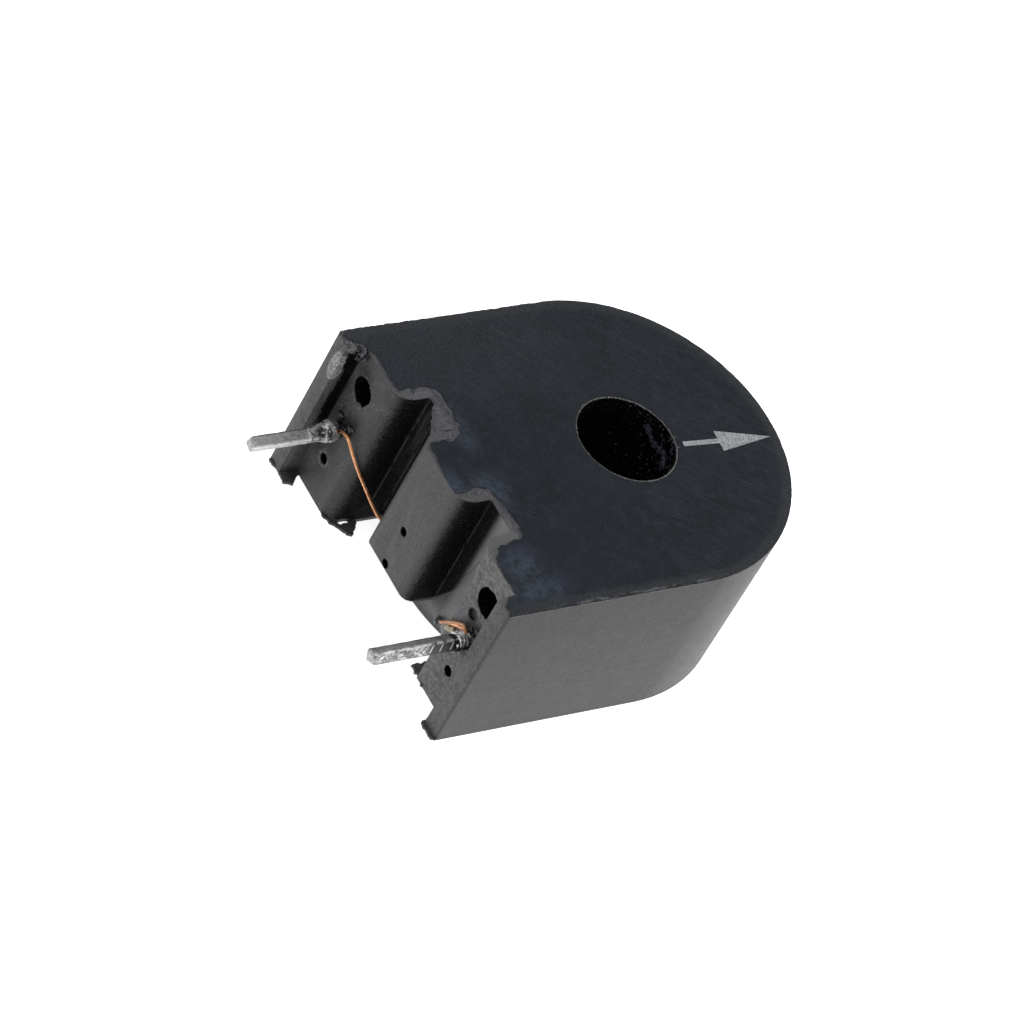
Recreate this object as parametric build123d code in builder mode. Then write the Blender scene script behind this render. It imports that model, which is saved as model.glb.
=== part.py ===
from build123d import *
from math import radians, sqrt, tan
import os

# A potted current transformer for a circuit board, lying on its back.
# The origin is on the bore's axis at the back face. +Z runs out of the printed face,
# -Y is the side with the terminal pins, and +Y is the rounded end.
# A height "s" is measured from the ends of the two feet, where the board would be.

# Case: its width comes from the two pins, the pockets they stand in and the feet
body_depth = 9.0
bore_radius = 2.5
bore_height = 11.62         # bore axis above the seat
arch_drop = 0.2             # centre of the rounded end, below the bore axis
pin_pitch = 12.7
pin_to_foot = 1.15          # from the pin's middle to the foot beside it
foot_height = 1.0           # the feet stand this far past the terminal floors
foot_thickness = 1.0
foot_chamfer = 0.15

# Hollow for the coil, open at the printed face
side_wall = 0.9             # thinnest wall beside the coil
tube_wall = 0.6             # wall of the tube that lines the bore
back_wall = 0.8

# Two troughs with a block between them
trough_depth = 1.75         # below the terminal floors
block_width = 4.1
trough_width = 2.0
shoulder_radius = 1.0
trough_corner_round = 0.12
block_setback = 1.7         # the block and the troughs stop short of the back face
block_end_round = 0.4
cup_wall = 1.0              # round wall under the coil, bare where the block stops

# Holes in the terminal floors and in the block
core_hole_radius = 0.62
core_hole_depth = 2.5
core_hole_from_front = 1.87
vent_radius = 0.28
vent_depth = 1.2
vent_from_back = 2.2
block_vent_radius = 0.24
block_vent_depth = 0.7
dimple_from_pin = (-0.45, 1.26)
dimple_depth = 0.12

# Ragged moulding flash, a thin skin in the plane of the back face
flash_thickness = 0.12
# Ragged edges, from the left foot's inner corner and from each trough's outer corner
foot_flash = [(0.51, 0), (0.88, 0.33), (0.65, 0.56), (0.31, 0.9)]
left_flash = [(-0.85, 0), (-0.59, -0.04), (0.03, 0.26), (0.6, 0.65), (0.77, 0.88), (0, 1.51)]
right_flash = [(0, 1.2), (0.21, 0.65), (0.35, 0.01), (1.15, 0)]

# Terminal pins, held in the case and a little twisted
pin_width = 0.6
pin_reaches = {"left": 4.0, "right": 4.4}    # past the seat
pin_steps_up = {"left": -0.3, "right": 0}   # from the middle of the depth
pin_hold = 2.5              # length inside the case
pin_tip_chamfer = 0.12
pin_twists = {"left": -20, "right": 25}

# Potting that fills the case, with a film over the rim of the printed face
film_thickness = 0.06
film_bore_gap = 0.08
film_trough_margin = 0.65
film_floor_margin = 0.15
film_foot_margin = 0.3
film_corner_round = 0.3

# Coil: it fills the hollow, less the potting round it
coil_side_gap = 0.55
coil_back_gap = 0.4
coil_cover = 1.44
coat_thickness = 0.25
winding_thickness = 0.4
turn_count = 45
turn_groove = 0.09
turn_gap_angle = 2.0        # degrees of the ring that each groove takes

# Leads, and the turns that each one makes round its pin under the solder
wire_radius = 0.085
wire_facets = 8
lead_hole_radius = 0.22
lead_hole_x = 2.5
lead_under_coil = 1.3       # length of each lead that lies against the winding
plug_setback = 0.7          # potting in the lead hole stops short of the cup's outer face
wrap_turns = 5
wrap_pitch = 0.2
wrap_radius = 0.45
# Stretches of each route, as steps towards the middle, out of the case and towards the printed face.
# The first stretch is measured from the pin at its floor, the second from the edge of the trough
# beside it at the pin's level, and the last from the hole, clear of the trough's end and of the cup.
lead_by_pin = {
    "left": [(0.27, 0.2, 0.35), (0.87, 0.27, 0.66)],
    "right": [(0, 0.28, 0.5), (0.35, 0.28, 0.7), (1.07, 0.2, 0)],
}
lead_over_shoulder = {"left": [(-0.35, 0.06, -0.15)], "right": [(-0.4, 0.05, -1.1)]}
lead_past_trough = {
    "left": [(-0.9, 0.6, 0.45), (-0.52, 0.13, -0.2)],
    "right": [(-0.8, 0.45, 0.3), (-0.52, 0.13, -0.2)],
}

# Printed arrow for the direction of the current, set a little askew
arrow_x = 0.81
arrow_bore_gap = 0.3
arrow_end_gap = 0.55
arrow_tilt = -4.3
arrow_shaft_width = 0.27
arrow_head_length = 2.95
arrow_head_width = 1.2
ink_thickness = 0.02

# Worked out from the sizes above
pin_x = pin_pitch / 2
foot_inner = pin_x + pin_to_foot
half_width = foot_inner + foot_thickness
body_width = 2 * half_width
middle_z = body_depth / 2
pin_z = {name: middle_z + step for name, step in pin_steps_up.items()}
seat = -bore_height
floor = seat + foot_height
shoulder_y = floor + shoulder_radius
case_top = body_depth - film_thickness
block_half = block_width / 2
trough_outer = block_half + trough_width
trough_middle = block_half + trough_width / 2
trough_floor = floor + trough_depth
cavity_radius = half_width - side_wall
cup_radius = cavity_radius + cup_wall
tube_radius = bore_radius + tube_wall
core_hole_z = body_depth - core_hole_from_front
winding_inner_radius = tube_radius + coil_side_gap
winding_outer_radius = cavity_radius - coil_side_gap
core_middle = (winding_inner_radius + winding_outer_radius) / 2
winding_width = winding_outer_radius - winding_inner_radius
coated_width = winding_width - 2 * winding_thickness
core_width = coated_width - 2 * coat_thickness
coil_bottom = back_wall + coil_back_gap
winding_height = case_top - coil_cover - coil_bottom
coated_height = winding_height - 2 * winding_thickness
core_height = coated_height - 2 * coat_thickness
coil_middle = coil_bottom + winding_height / 2
lead_hole_z = coil_bottom - wire_radius
lead_mouth_y = -sqrt(cup_radius ** 2 - lead_hole_x ** 2) - wire_radius
lead_end_y = lead_under_coil - sqrt(winding_outer_radius ** 2 - lead_hole_x ** 2)
wrap_height = wrap_pitch * wrap_turns
arrow_start = bore_radius + arrow_bore_gap
arrow_length = half_width - arch_drop - arrow_start - arrow_end_gap
sides = {"left": -1, "right": 1}

# Faces that look at the board: local x is X and local y is Z
floor_plane = Plane(origin=(0, floor, 0), x_dir=(1, 0, 0), z_dir=(0, -1, 0))
cup_plane = Plane(origin=(0, -cup_radius, 0), x_dir=(1, 0, 0), z_dir=(0, -1, 0))

os.makedirs("parts", exist_ok=True)


# The case from the front: straight sides, a flat end for the board and a rounded end
with BuildSketch() as case_outline:
    with BuildLine():
        Polyline((-half_width, -arch_drop), (-half_width, seat), (half_width, seat),
                 (half_width, -arch_drop))
        ThreePointArc((half_width, -arch_drop), (0, half_width - arch_drop),
                      (-half_width, -arch_drop))
    make_face()

# The two troughs from the front, open towards the board, with round shoulders on both sides
with BuildSketch() as troughs:
    with BuildLine():
        outer = CenterArc((trough_outer + shoulder_radius, shoulder_y), shoulder_radius, 270, -90)
        inner = CenterArc((block_half - shoulder_radius, shoulder_y), shoulder_radius, 0, -90)
        Polyline(outer @ 1, (trough_outer, trough_floor), (block_half, trough_floor), inner @ 0)
        Polyline(inner @ 1, (block_half - shoulder_radius, seat),
                 (trough_outer + shoulder_radius, seat), outer @ 0)
    make_face()
    mirror(about=Plane.YZ)

# The opening behind the block, from one shoulder to the other, down to the round of the cup
with BuildSketch() as notch:
    with BuildLine():
        outer = CenterArc((trough_outer + shoulder_radius, shoulder_y), shoulder_radius, 270, -90)
        Polyline(outer @ 1, (trough_outer, 0), (0, 0), (0, seat),
                 (trough_outer + shoulder_radius, seat), outer @ 0)
    make_face()
    mirror(about=Plane.YZ)
    Circle(cup_radius, mode=Mode.SUBTRACT)


def hollow_ring(width, height, thickness):
    """Section of a skin round the coil's core, whose inside is width by height."""
    with BuildSketch() as section:
        with Locations((core_middle, coil_middle)):
            Rectangle(width + 2 * thickness, height + 2 * thickness)
            Rectangle(width, height, mode=Mode.SUBTRACT)
    return section.sketch


def bend_radii(points):
    """The largest round that each corner of a route has room for."""
    corners = [Vector(*point) for point in points]
    radii = []
    for before, corner, after in zip(corners, corners[1:], corners[2:]):
        turn = (corner - before).get_angle(after - corner)
        room = 0.45 * min((corner - before).length, (after - corner).length)
        radii.append(room / tan(radians(turn / 2)))
    return radii


# Leads: from the pin, over the shoulder, through the hole in the cup and up to the winding
leads = {}
for name, side in sides.items():
    stretches = (
        (lead_by_pin[name], (pin_x, floor, pin_z[name])),
        (lead_over_shoulder[name], (trough_outer, floor, pin_z[name])),
        (lead_past_trough[name], (lead_hole_x, min(trough_floor, lead_mouth_y), block_setback)),
    )
    points = [(side * (x - inwards), y - outwards, z + forwards)
              for steps, (x, y, z) in stretches for inwards, outwards, forwards in steps]
    points += [(side * lead_hole_x, lead_mouth_y, lead_hole_z), (side * lead_hole_x, lead_end_y, lead_hole_z)]
    with BuildLine() as route:
        FilletPolyline(*points, radius=bend_radii(points))
    with BuildPart() as lead:
        with BuildSketch(Plane(origin=route.line @ 0, z_dir=route.line % 0)):
            RegularPolygon(wire_radius, wire_facets)
        sweep(path=route.line)
    lead.part.label = f"lead_wire_{name}"
    leads[name] = lead

# Housing: one moulded case
with BuildPart() as housing:
    with BuildSketch():
        add(case_outline.sketch)
    extrude(amount=case_top)
    # Space between the feet
    with BuildSketch():
        with Locations((0, seat)):
            Rectangle(2 * foot_inner, 2 * foot_height)
    extrude(amount=body_depth, mode=Mode.SUBTRACT)
    # Troughs on both sides of the block
    with BuildSketch(Plane.XY.offset(block_setback)):
        add(troughs.sketch)
    extrude(amount=body_depth, mode=Mode.SUBTRACT)
    # Small rounds in the corners of the troughs
    trough_corners = housing.edges().filter_by(Axis.Z).filter_by(
        lambda edge: abs(edge.center().Y - trough_floor) < trough_corner_round)
    fillet(trough_corners, trough_corner_round)
    # Behind the block the round of the cup shows
    with BuildSketch():
        add(notch.sketch)
    extrude(amount=block_setback, mode=Mode.SUBTRACT)
    # Round edges where the block and the troughs stop, towards the back face
    for side in sides.values():
        for edge_y, inner_x, width in ((floor, 0, block_half), (trough_floor, block_half, trough_width)):
            with BuildSketch(Plane.YZ.offset(side * inner_x)):
                with BuildLine():
                    edge_round = CenterArc((edge_y + block_end_round, block_setback + block_end_round),
                                           block_end_round, 180, 90)
                    Polyline(edge_round @ 1, (edge_y, block_setback), edge_round @ 0)
                make_face()
            extrude(amount=side * width, mode=Mode.SUBTRACT)
    # Outer edges of the feet
    foot_edges = housing.edges().filter_by(Axis.Z).group_by(Axis.Y)[0].sort_by(Axis.X)
    chamfer([foot_edges[0], foot_edges[-1]], foot_chamfer)
    # Hollow for the coil, round the tube that lines the bore
    with BuildSketch(Plane.XY.offset(back_wall)):
        Circle(cavity_radius)
        Circle(tube_radius, mode=Mode.SUBTRACT)
    extrude(amount=body_depth, mode=Mode.SUBTRACT)
    with Locations((0, 0, case_top)):
        Hole(bore_radius)
    # Round holes in the terminal floors and in the block
    with Locations(floor_plane):
        with Locations((-pin_x, core_hole_z), (pin_x, core_hole_z)):
            Hole(core_hole_radius, core_hole_depth)
        with Locations((-pin_x, vent_from_back), (pin_x, vent_from_back)):
            Hole(vent_radius, vent_depth)
        with Locations((0, middle_z), (0, vent_from_back)):
            Hole(block_vent_radius, block_vent_depth)
        with Locations((pin_x + dimple_from_pin[0], pin_z["right"] + dimple_from_pin[1])):
            Hole(vent_radius, dimple_depth)
    # Square holes that hold the pins
    with BuildSketch(floor_plane):
        for name, side in sides.items():
            with Locations(Location((side * pin_x, pin_z[name]), pin_twists[name])):
                Rectangle(pin_width, pin_width)
    extrude(amount=-pin_hold, mode=Mode.SUBTRACT)
    # Holes that let the leads out under the coil
    with Locations(cup_plane):
        with Locations((-lead_hole_x, lead_hole_z), (lead_hole_x, lead_hole_z)):
            Hole(lead_hole_radius, cup_radius + lead_end_y)
    # Flash beside the left foot and at both shoulders
    with BuildSketch():
        with BuildLine():
            Polyline((-foot_inner, seat), *[(x - foot_inner, y + seat) for x, y in foot_flash],
                     (-foot_inner, floor), close=True)
        make_face()
        for side, steps in ((-1, left_flash), (1, right_flash)):
            with BuildLine():
                Polyline(*[(x + side * trough_outer, y + floor) for x, y in steps], close=True)
            make_face()
    extrude(amount=flash_thickness)
housing.part.label = "housing"

# Core: a ring of magnetic tape
with BuildPart() as toroid_core:
    with BuildSketch(Plane.XY.offset(coil_middle - core_height / 2)):
        Circle(core_middle + core_width / 2)
        Circle(core_middle - core_width / 2, mode=Mode.SUBTRACT)
    extrude(amount=core_height)
toroid_core.part.label = "toroid_core"

# Coat that insulates the core from the winding
with BuildPart() as core_coat:
    with BuildSketch(Plane.XZ):
        add(hollow_ring(core_width, core_height, coat_thickness))
    revolve(axis=Axis.Z)
core_coat.part.label = "core_coat"

# One groove between two turns, all the way round the winding's section
with BuildPart() as turn_gap:
    with BuildSketch(Plane.XZ):
        add(hollow_ring(winding_width - 2 * turn_groove, winding_height - 2 * turn_groove, turn_groove))
    revolve(axis=Axis.Z, revolution_arc=turn_gap_angle)

# Secondary winding: one layer of turns round the coated core
with BuildPart() as secondary_winding:
    with BuildSketch(Plane.XZ):
        add(hollow_ring(coated_width, coated_height, winding_thickness))
    revolve(axis=Axis.Z)
    with PolarLocations(0, turn_count, start_angle=(360 / turn_count - turn_gap_angle) / 2):
        add(turn_gap.part, mode=Mode.SUBTRACT)
secondary_winding.part.label = "secondary_winding"

# Potting: the fill round the coil, the film over the rim and plugs in the lead holes
with BuildPart() as potting:
    with BuildSketch(Plane.XY.offset(back_wall)):
        Circle(cavity_radius)
        Circle(tube_radius, mode=Mode.SUBTRACT)
    extrude(amount=case_top - back_wall)
    with BuildSketch(Plane.XY.offset(case_top)):
        add(case_outline.sketch)
        with Locations((0, seat)):
            Rectangle(2 * foot_inner, 2 * (foot_height + film_floor_margin), mode=Mode.SUBTRACT)
            Rectangle(body_width, 2 * film_foot_margin, mode=Mode.SUBTRACT)
        with Locations((-trough_middle, floor), (trough_middle, floor)):
            RectangleRounded(trough_width + 2 * film_trough_margin,
                             2 * (trough_depth + film_trough_margin),
                             film_corner_round, mode=Mode.SUBTRACT)
        Circle(bore_radius + film_bore_gap, mode=Mode.SUBTRACT)
    extrude(amount=film_thickness)
    with BuildSketch(cup_plane.offset(-plug_setback)):
        with Locations((-lead_hole_x, lead_hole_z), (lead_hole_x, lead_hole_z)):
            Circle(lead_hole_radius)
    extrude(amount=-(cup_radius - plug_setback + lead_end_y))
    with BuildSketch(Plane.XZ):
        with Locations((core_middle, coil_middle)):
            Rectangle(winding_width, winding_height)
    revolve(axis=Axis.Z, mode=Mode.SUBTRACT)
    for lead in leads.values():
        add(lead.part, mode=Mode.SUBTRACT)
potting.part.label = "potting"

# Terminal pins
pins = {}
for name, side in sides.items():
    with BuildPart() as pin:
        with BuildSketch(floor_plane.offset(foot_height + pin_reaches[name])):
            with Locations(Location((side * pin_x, pin_z[name]), pin_twists[name])):
                Rectangle(pin_width, pin_width)
        extrude(amount=-(foot_height + pin_reaches[name] + pin_hold))
        chamfer(pin.faces().sort_by(Axis.Y)[0].edges(), pin_tip_chamfer)
    pin.part.label = f"terminal_pin_{name}"
    pins[name] = pin

# Solder over the turns of each lead round its pin
joints = {}
for name, side in sides.items():
    heights = [-turn * wrap_pitch for turn in range(wrap_turns + 1)]
    with BuildPart() as joint:
        with BuildSketch(Plane(origin=(side * pin_x, floor, pin_z[name]), x_dir=(1, 0, 0), z_dir=(0, 0, 1))):
            with BuildLine():
                for upper, lower in zip(heights, heights[1:]):
                    Polyline((wrap_radius, upper), (wrap_radius + wire_radius, (upper + lower) / 2),
                             (wrap_radius, lower))
                Polyline((wrap_radius, -wrap_height), (0, -wrap_height), (0, 0), (wrap_radius, 0))
            make_face()
        revolve(axis=Axis((side * pin_x, floor, pin_z[name]), (0, 1, 0)))
        add(pins[name].part, mode=Mode.SUBTRACT)
        add(leads[name].part, mode=Mode.SUBTRACT)
    joint.part.label = f"solder_joint_{name}"
    joints[name] = joint

# Printed arrow
with BuildPart() as direction_arrow:
    arrow_neck = arrow_length - arrow_head_length
    shaft_half = arrow_shaft_width / 2
    head_half = arrow_head_width / 2
    with BuildSketch(Plane(Location((arrow_x, arrow_start, body_depth), (0, 0, arrow_tilt)))):
        with BuildLine():
            Polyline((-shaft_half, 0), (shaft_half, 0), (shaft_half, arrow_neck), (head_half, arrow_neck),
                     (0, arrow_length), (-head_half, arrow_neck), (-shaft_half, arrow_neck), close=True)
        make_face()
    extrude(amount=ink_thickness)
direction_arrow.part.label = "direction_arrow"

for piece in (housing, toroid_core, core_coat, secondary_winding, potting, direction_arrow,
              *leads.values(), *pins.values(), *joints.values()):
    export_step(piece.part, f"parts/{piece.part.label}.step")
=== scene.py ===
"""A small potted current transformer lying on its back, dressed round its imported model.

Sizes here are in millimetres. The origin is on the bore's axis at the back face, +Z runs out of the
printed face, the pins point to -Y, and the near side in the picture is +X. A height "s" is measured
from the ends of the two feet towards the rounded end.
"""
import math
import random

import bmesh
import bpy
from mathutils import Matrix, Vector, noise


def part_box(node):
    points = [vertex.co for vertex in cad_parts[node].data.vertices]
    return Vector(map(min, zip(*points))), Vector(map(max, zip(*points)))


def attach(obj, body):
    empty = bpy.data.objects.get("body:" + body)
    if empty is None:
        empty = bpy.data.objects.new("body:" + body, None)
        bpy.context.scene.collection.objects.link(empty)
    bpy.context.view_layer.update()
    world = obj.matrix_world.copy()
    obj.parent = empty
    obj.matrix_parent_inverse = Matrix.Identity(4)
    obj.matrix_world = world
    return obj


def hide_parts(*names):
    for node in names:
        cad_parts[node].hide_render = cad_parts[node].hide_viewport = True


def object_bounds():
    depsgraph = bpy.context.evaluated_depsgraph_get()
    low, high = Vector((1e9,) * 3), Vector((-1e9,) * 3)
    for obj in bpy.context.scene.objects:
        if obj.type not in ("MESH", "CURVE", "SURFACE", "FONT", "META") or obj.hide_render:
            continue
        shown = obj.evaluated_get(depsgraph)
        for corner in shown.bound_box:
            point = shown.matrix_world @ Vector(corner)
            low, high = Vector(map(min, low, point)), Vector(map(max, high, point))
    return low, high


MM = 0.001

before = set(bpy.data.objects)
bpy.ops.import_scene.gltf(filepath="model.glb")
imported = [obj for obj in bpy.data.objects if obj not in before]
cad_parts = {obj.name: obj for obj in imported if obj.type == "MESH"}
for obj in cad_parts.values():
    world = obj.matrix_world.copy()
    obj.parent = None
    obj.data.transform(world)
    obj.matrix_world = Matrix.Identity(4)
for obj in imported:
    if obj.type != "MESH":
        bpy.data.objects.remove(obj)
cad_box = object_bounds()


def node_box(name):
    """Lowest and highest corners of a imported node, in millimetres."""
    low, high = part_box(name)
    return Vector(low) / MM, Vector(high) / MM


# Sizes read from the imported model
case_low, case_high = node_box("housing")
half_width = case_high.x
seat = case_low.y
case_top = case_high.z
top = node_box("potting")[1].z
pin_boxes = {name: node_box(f"terminal_pin_{name}") for name in ("left", "right")}
pin_x = sum(corner.x for corner in pin_boxes["right"]) / 2
pin_levels = {name: sum(corner.z for corner in box) / 2 for name, box in pin_boxes.items()}

# Sizes of the moulding, the pins and the wires that the dressing follows
floor_y = seat + 1.0
block_half = 2.05
trough_outer = 4.05
trough_middle = 3.05
trough_floor = floor_y + 1.75
inner_wall_x = -7.45
bore_radius = 2.5
cup_radius = 8.6
arch_centre_y = case_high.y - half_width
small_hole_z = 2.2
torn_holes = ((-6.22, 7.08, 0.68), (6.29, 7.04, 0.75))
pin_width = 0.6
pin_twists = {"left": -20, "right": 25}
wire_radius = 0.085
sides = {"left": -1, "right": 1}


# Building materials out of nodes

class Finish:
    """One procedural material, laid down in coats. self.place is the position in millimetres."""

    def __init__(self, name, roughness=0.5, metallic=0.0, specular=0.5):
        self.material = bpy.data.materials.new(name)
        self.material.use_nodes = True
        self.tree = self.material.node_tree
        self.tree.nodes.clear()
        self.shader = self.node("ShaderNodeBsdfPrincipled")
        self.shader.inputs["Roughness"].default_value = roughness
        self.shader.inputs["Metallic"].default_value = metallic
        self.shader.inputs["Specular IOR Level"].default_value = specular
        output = self.node("ShaderNodeOutputMaterial")
        self.link(self.shader.outputs["BSDF"], output.inputs["Surface"])
        coordinates = self.node("ShaderNodeTexCoord").outputs["Object"]
        self.place = self.vector("MULTIPLY", coordinates, (1 / MM, 1 / MM, 1 / MM))
        split = self.node("ShaderNodeSeparateXYZ")
        self.link(self.place, split.inputs[0])
        self.x, self.y, self.z = split.outputs

    def node(self, kind, **settings):
        made = self.tree.nodes.new(kind)
        for key, value in settings.items():
            setattr(made, key, value)
        return made

    def link(self, source, target):
        if isinstance(source, (int, float)):
            target.default_value = source
        else:
            self.tree.links.new(source, target)

    def math(self, operation, first, second=0.0):
        made = self.node("ShaderNodeMath", operation=operation)
        self.link(first, made.inputs[0])
        self.link(second, made.inputs[1])
        return made.outputs[0]

    def plus(self, first, second):
        return self.math("ADD", first, second)

    def minus(self, first, second):
        return self.math("SUBTRACT", first, second)

    def times(self, first, second):
        return self.math("MULTIPLY", first, second)

    def vector(self, operation, first, second=(0, 0, 0), output="Vector"):
        made = self.node("ShaderNodeVectorMath", operation=operation)
        self.link(first, made.inputs[0])
        made.inputs[1].default_value = second
        return made.outputs[output]

    def fade(self, value, start, end):
        """0 where the value is at start, 1 where it is at end, smooth between."""
        made = self.node("ShaderNodeMapRange", interpolation_type="SMOOTHSTEP")
        self.link(value, made.inputs["Value"])
        made.inputs["From Min"].default_value = start
        made.inputs["From Max"].default_value = end
        return made.outputs["Result"]

    def stretch(self, scale, turn=0.0):
        """The position, turned about Z by degrees and then scaled along each axis."""
        turned = self.node("ShaderNodeMapping", vector_type="TEXTURE")
        self.link(self.place, turned.inputs["Vector"])
        turned.inputs["Rotation"].default_value = (0, 0, math.radians(turn))
        return self.vector("MULTIPLY", turned.outputs["Vector"], scale)

    def noise(self, scale, detail=3.0, roughness=0.55, distortion=0.0, place=None):
        made = self.node("ShaderNodeTexNoise")
        self.link(place or self.place, made.inputs["Vector"])
        made.inputs["Scale"].default_value = scale
        made.inputs["Detail"].default_value = detail
        made.inputs["Roughness"].default_value = roughness
        made.inputs["Distortion"].default_value = distortion
        return made.outputs["Fac"]

    def waver(self, value, wander, amount):
        """The value, moved up and down by a noise."""
        return self.plus(value, self.times(self.minus(wander, 0.5), amount))

    def reach(self, across, along):
        """Length of a line with these two parts."""
        return self.math("SQRT", self.plus(self.times(across, across), self.times(along, along)))

    def spots(self, edge, *places):
        """1 inside any of the ellipsoids, given by centre and radii, fading to 0 at their surfaces."""
        found = []
        for centre, radii in places:
            scaled = self.vector("DIVIDE", self.vector("SUBTRACT", self.place, centre), radii)
            found.append(self.fade(self.vector("LENGTH", scaled, output="Value"), 1.0, edge))
        return self.either(*found)

    def floor_spots(self, edge, *places):
        """Spots on the pockets' floors. Each is x, z and the radii."""
        return self.spots(edge, *(((x, floor_y, z), radii) for x, z, *radii in places))

    def tunnel(self, x, z, reach):
        """1 inside a round shaft along Y."""
        across = self.minus(self.x, x)
        along = self.minus(self.z, z)
        squares = self.plus(self.times(across, across), self.times(along, along))
        return self.fade(squares, (reach + 0.03) ** 2, reach ** 2)

    def band(self, value, low, high, soft=0.1):
        """1 where the value lies between low and high."""
        rise = self.fade(value, low - soft, low + soft)
        return self.times(rise, self.fade(value, high + soft, high - soft))

    def both(self, *masks):
        result = masks[0]
        for mask in masks[1:]:
            result = self.times(result, mask)
        return result

    def either(self, *masks):
        result = masks[0]
        for mask in masks[1:]:
            result = self.math("MAXIMUM", result, mask)
        return result

    def mix(self, mask, below, above, blend="MIX"):
        """Blends two colours. A single number is a grey."""
        made = self.node("ShaderNodeMix", data_type="RGBA", blend_type=blend)
        self.link(mask, made.inputs["Factor"])
        for colour, socket in ((below, made.inputs["A"]), (above, made.inputs["B"])):
            if isinstance(colour, (int, float)):
                colour = (colour, colour, colour)
            if isinstance(colour, tuple):
                socket.default_value = (*colour, 1)
            else:
                self.link(colour, socket)
        return made.outputs["Result"]

    def base(self, colour):
        """Sets the colour so far."""
        self.top_coat = colour
        self.link(colour, self.shader.inputs["Base Color"])

    def coat(self, colour, *masks, blend="MIX"):
        """Lays a colour over the coats below, as far as the product of the masks goes."""
        self.base(self.mix(self.both(*masks), self.top_coat, colour, blend))

    def roughness(self, mask, low, high):
        made = self.node("ShaderNodeMapRange")
        self.link(mask, made.inputs["Value"])
        made.inputs["To Min"].default_value = low
        made.inputs["To Max"].default_value = high
        self.link(made.outputs["Result"], self.shader.inputs["Roughness"])

    def bump(self, *layers):
        """Each layer is a height from 0 to 1, and the depth in millimetres that 1 stands for."""
        normal = None
        for height, depth in layers:
            made = self.node("ShaderNodeBump")
            made.inputs["Distance"].default_value = depth * MM
            made.inputs["Strength"].default_value = 1.0
            self.link(height, made.inputs["Height"])
            if normal:
                self.link(normal, made.inputs["Normal"])
            normal = made.outputs["Normal"]
        self.link(normal, self.shader.inputs["Normal"])


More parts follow.
